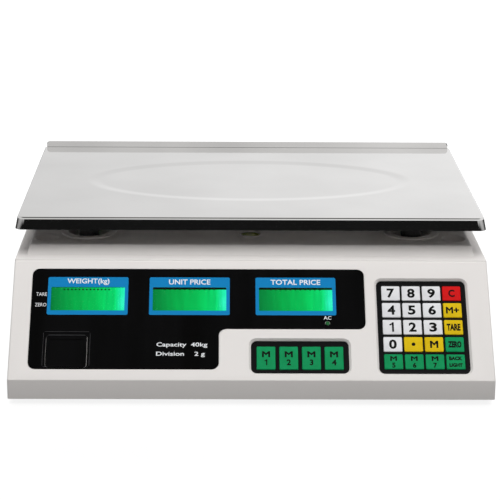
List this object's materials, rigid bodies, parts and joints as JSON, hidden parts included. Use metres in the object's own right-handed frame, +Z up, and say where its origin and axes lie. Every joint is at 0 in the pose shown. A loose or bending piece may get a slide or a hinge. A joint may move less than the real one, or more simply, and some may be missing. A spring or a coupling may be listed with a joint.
{
  "type": "retail price computing scale",
  "caption": "Low counter scale: a flat steel weighing pan over a moulded plastic housing, with displays and coloured keys on a sloping front panel.",
  "frame": {"origin": "on the floor, at the middle of the footprint", "axes": "+X to the operator's right, +Y towards the customer, +Z up; the keys are at -Y"},
  "size_m": [0.34, 0.345, 0.1183],
  "materials": {
    "white_abs": "moulded ABS, fine texture",
    "grey_abs": "moulded ABS, matt",
    "black_film": "printed polycarbonate film, glossy",
    "black_plastic": "moulded ABS, satin",
    "black_rubber": "moulded rubber, matt",
    "polished_steel": "pressed stainless steel sheet, polished",
    "aluminium": "as cast and machined",
    "zinc_steel": "zinc plated sheet",
    "green_lcd": "backlit liquid crystal glass",
    "circuit_board": "green solder mask on fibreglass board",
    "core_steel": "varnished laminations",
    "battery_grey": "moulded ABS case",
    "level_fluid": "clear vial with yellow-green fluid",
    "key_white": "moulded cap, satin",
    "key_yellow": "moulded cap, satin",
    "key_green": "moulded cap, satin",
    "key_red": "moulded cap, satin"
  },
  "bodies": {
    "housing": {"top_cover": "white_abs", "base_tray": "grey_abs", "front_overlay": "black_film", "rear_overlay": "black_film", "blank_badge": "black_plastic", "number_pad_bezel": "black_plastic", "memory_pad_bezel": "black_plastic", "switch_body": "black_plastic", "mains_inlet": "black_plastic", "keypad_mat": "black_rubber", "platform_spider": "aluminium", "load_cell": "aluminium", "load_cell_spacer": "zinc_steel", "chassis_plate": "zinc_steel", "lcd_weight": "green_lcd", "lcd_unit_price": "green_lcd", "lcd_total_price": "green_lcd", "lcd_customer": "green_lcd", "front_display_board": "circuit_board", "rear_display_board": "circuit_board", "keypad_board": "circuit_board", "main_board": "circuit_board", "transformer": "core_steel", "battery": "battery_grey", "spirit_level": "level_fluid", "pan_cup_front_left": "black_rubber", "pan_cup_front_right": "black_rubber", "pan_cup_rear_left": "black_rubber", "pan_cup_rear_right": "black_rubber"},
    "weighing_pan": {"weighing_pan": "polished_steel"},
    "battery_door": {"battery_door": "grey_abs"},
    "switch_rocker": {"switch_rocker": "black_plastic"},
    "key_7": {"key_7": "key_white"},
    "key_8": {"key_8": "key_white"},
    "key_9": {"key_9": "key_white"},
    "key_c": {"key_c": "key_red"},
    "key_4": {"key_4": "key_white"},
    "key_5": {"key_5": "key_white"},
    "key_6": {"key_6": "key_white"},
    "key_m_plus": {"key_m_plus": "key_yellow"},
    "key_1": {"key_1": "key_white"},
    "key_2": {"key_2": "key_white"},
    "key_3": {"key_3": "key_white"},
    "key_tare": {"key_tare": "key_yellow"},
    "key_0": {"key_0": "key_white"},
    "key_point": {"key_point": "key_yellow"},
    "key_m": {"key_m": "key_yellow"},
    "key_zero": {"key_zero": "key_green"},
    "key_m5": {"key_m5": "key_green"},
    "key_m6": {"key_m6": "key_green"},
    "key_m7": {"key_m7": "key_green"},
    "key_light": {"key_light": "key_green"},
    "key_m1": {"key_m1": "key_green"},
    "key_m2": {"key_m2": "key_green"},
    "key_m3": {"key_m3": "key_green"},
    "key_m4": {"key_m4": "key_green"},
    "levelling_foot_front_left": {"levelling_foot_front_left": "black_rubber"},
    "levelling_foot_front_right": {"levelling_foot_front_right": "black_rubber"},
    "levelling_foot_rear_left": {"levelling_foot_rear_left": "black_rubber"},
    "levelling_foot_rear_right": {"levelling_foot_rear_right": "black_rubber"}
  },
  "joints": [
    {"name": "pan_lift_off", "type": "slide", "parent": "housing", "child": "weighing_pan", "axis": [0, 0, 1], "range_m": [0, 0.06]},
    {"name": "battery_door_pull_off", "type": "slide", "parent": "housing", "child": "battery_door", "axis": [0, 0, -1], "range_m": [0, 0.03]},
    {"name": "rocker_tilt", "type": "hinge", "parent": "housing", "child": "switch_rocker", "pos_m": [0.165, 0.077, 0.04], "axis": [0, 0, 1], "range_deg": [-18, 0]},
    {"name": "foot_screw_front_left", "type": "slide", "parent": "housing", "child": "levelling_foot_front_left", "axis": [0, 0, -1], "range_m": [-0.004, 0.008]},
    {"name": "foot_screw_front_right", "type": "slide", "parent": "housing", "child": "levelling_foot_front_right", "axis": [0, 0, -1], "range_m": [-0.004, 0.008]},
    {"name": "foot_screw_rear_left", "type": "slide", "parent": "housing", "child": "levelling_foot_rear_left", "axis": [0, 0, -1], "range_m": [-0.004, 0.008]},
    {"name": "foot_screw_rear_right", "type": "slide", "parent": "housing", "child": "levelling_foot_rear_right", "axis": [0, 0, -1], "range_m": [-0.004, 0.008]},
    {"name": "press_7", "type": "slide", "parent": "housing", "child": "key_7", "axis": [0, 0.6966, -0.7174], "range_m": [0, 0.0012], "stiffness_N_per_m": 300, "springref_m": -0.001},
    {"name": "press_8", "type": "slide", "parent": "housing", "child": "key_8", "axis": [0, 0.6966, -0.7174], "range_m": [0, 0.0012], "stiffness_N_per_m": 300, "springref_m": -0.001},
    {"name": "press_9", "type": "slide", "parent": "housing", "child": "key_9", "axis": [0, 0.6966, -0.7174], "range_m": [0, 0.0012], "stiffness_N_per_m": 300, "springref_m": -0.001},
    {"name": "press_c", "type": "slide", "parent": "housing", "child": "key_c", "axis": [0, 0.6966, -0.7174], "range_m": [0, 0.0012], "stiffness_N_per_m": 300, "springref_m": -0.001},
    {"name": "press_4", "type": "slide", "parent": "housing", "child": "key_4", "axis": [0, 0.6966, -0.7174], "range_m": [0, 0.0012], "stiffness_N_per_m": 300, "springref_m": -0.001},
    {"name": "press_5", "type": "slide", "parent": "housing", "child": "key_5", "axis": [0, 0.6966, -0.7174], "range_m": [0, 0.0012], "stiffness_N_per_m": 300, "springref_m": -0.001},
    {"name": "press_6", "type": "slide", "parent": "housing", "child": "key_6", "axis": [0, 0.6966, -0.7174], "range_m": [0, 0.0012], "stiffness_N_per_m": 300, "springref_m": -0.001},
    {"name": "press_m_plus", "type": "slide", "parent": "housing", "child": "key_m_plus", "axis": [0, 0.6966, -0.7174], "range_m": [0, 0.0012], "stiffness_N_per_m": 300, "springref_m": -0.001},
    {"name": "press_1", "type": "slide", "parent": "housing", "child": "key_1", "axis": [0, 0.6966, -0.7174], "range_m": [0, 0.0012], "stiffness_N_per_m": 300, "springref_m": -0.001},
    {"name": "press_2", "type": "slide", "parent": "housing", "child": "key_2", "axis": [0, 0.6966, -0.7174], "range_m": [0, 0.0012], "stiffness_N_per_m": 300, "springref_m": -0.001},
    {"name": "press_3", "type": "slide", "parent": "housing", "child": "key_3", "axis": [0, 0.6966, -0.7174], "range_m": [0, 0.0012], "stiffness_N_per_m": 300, "springref_m": -0.001},
    {"name": "press_tare", "type": "slide", "parent": "housing", "child": "key_tare", "axis": [0, 0.6966, -0.7174], "range_m": [0, 0.0012], "stiffness_N_per_m": 300, "springref_m": -0.001},
    {"name": "press_0", "type": "slide", "parent": "housing", "child": "key_0", "axis": [0, 0.6966, -0.7174], "range_m": [0, 0.0012], "stiffness_N_per_m": 300, "springref_m": -0.001},
    {"name": "press_point", "type": "slide", "parent": "housing", "child": "key_point", "axis": [0, 0.6966, -0.7174], "range_m": [0, 0.0012], "stiffness_N_per_m": 300, "springref_m": -0.001},
    {"name": "press_m", "type": "slide", "parent": "housing", "child": "key_m", "axis": [0, 0.6966, -0.7174], "range_m": [0, 0.0012], "stiffness_N_per_m": 300, "springref_m": -0.001},
    {"name": "press_zero", "type": "slide", "parent": "housing", "child": "key_zero", "axis": [0, 0.6966, -0.7174], "range_m": [0, 0.0012], "stiffness_N_per_m": 300, "springref_m": -0.001},
    {"name": "press_m5", "type": "slide", "parent": "housing", "child": "key_m5", "axis": [0, 0.6966, -0.7174], "range_m": [0, 0.0012], "stiffness_N_per_m": 300, "springref_m": -0.001},
    {"name": "press_m6", "type": "slide", "parent": "housing", "child": "key_m6", "axis": [0, 0.6966, -0.7174], "range_m": [0, 0.0012], "stiffness_N_per_m": 300, "springref_m": -0.001},
    {"name": "press_m7", "type": "slide", "parent": "housing", "child": "key_m7", "axis": [0, 0.6966, -0.7174], "range_m": [0, 0.0012], "stiffness_N_per_m": 300, "springref_m": -0.001},
    {"name": "press_light", "type": "slide", "parent": "housing", "child": "key_light", "axis": [0, 0.6966, -0.7174], "range_m": [0, 0.0012], "stiffness_N_per_m": 300, "springref_m": -0.001},
    {"name": "press_m1", "type": "slide", "parent": "housing", "child": "key_m1", "axis": [0, 0.6966, -0.7174], "range_m": [0, 0.0012], "stiffness_N_per_m": 300, "springref_m": -0.001},
    {"name": "press_m2", "type": "slide", "parent": "housing", "child": "key_m2", "axis": [0, 0.6966, -0.7174], "range_m": [0, 0.0012], "stiffness_N_per_m": 300, "springref_m": -0.001},
    {"name": "press_m3", "type": "slide", "parent": "housing", "child": "key_m3", "axis": [0, 0.6966, -0.7174], "range_m": [0, 0.0012], "stiffness_N_per_m": 300, "springref_m": -0.001},
    {"name": "press_m4", "type": "slide", "parent": "housing", "child": "key_m4", "axis": [0, 0.6966, -0.7174], "range_m": [0, 0.0012], "stiffness_N_per_m": 300, "springref_m": -0.001}
  ]
}
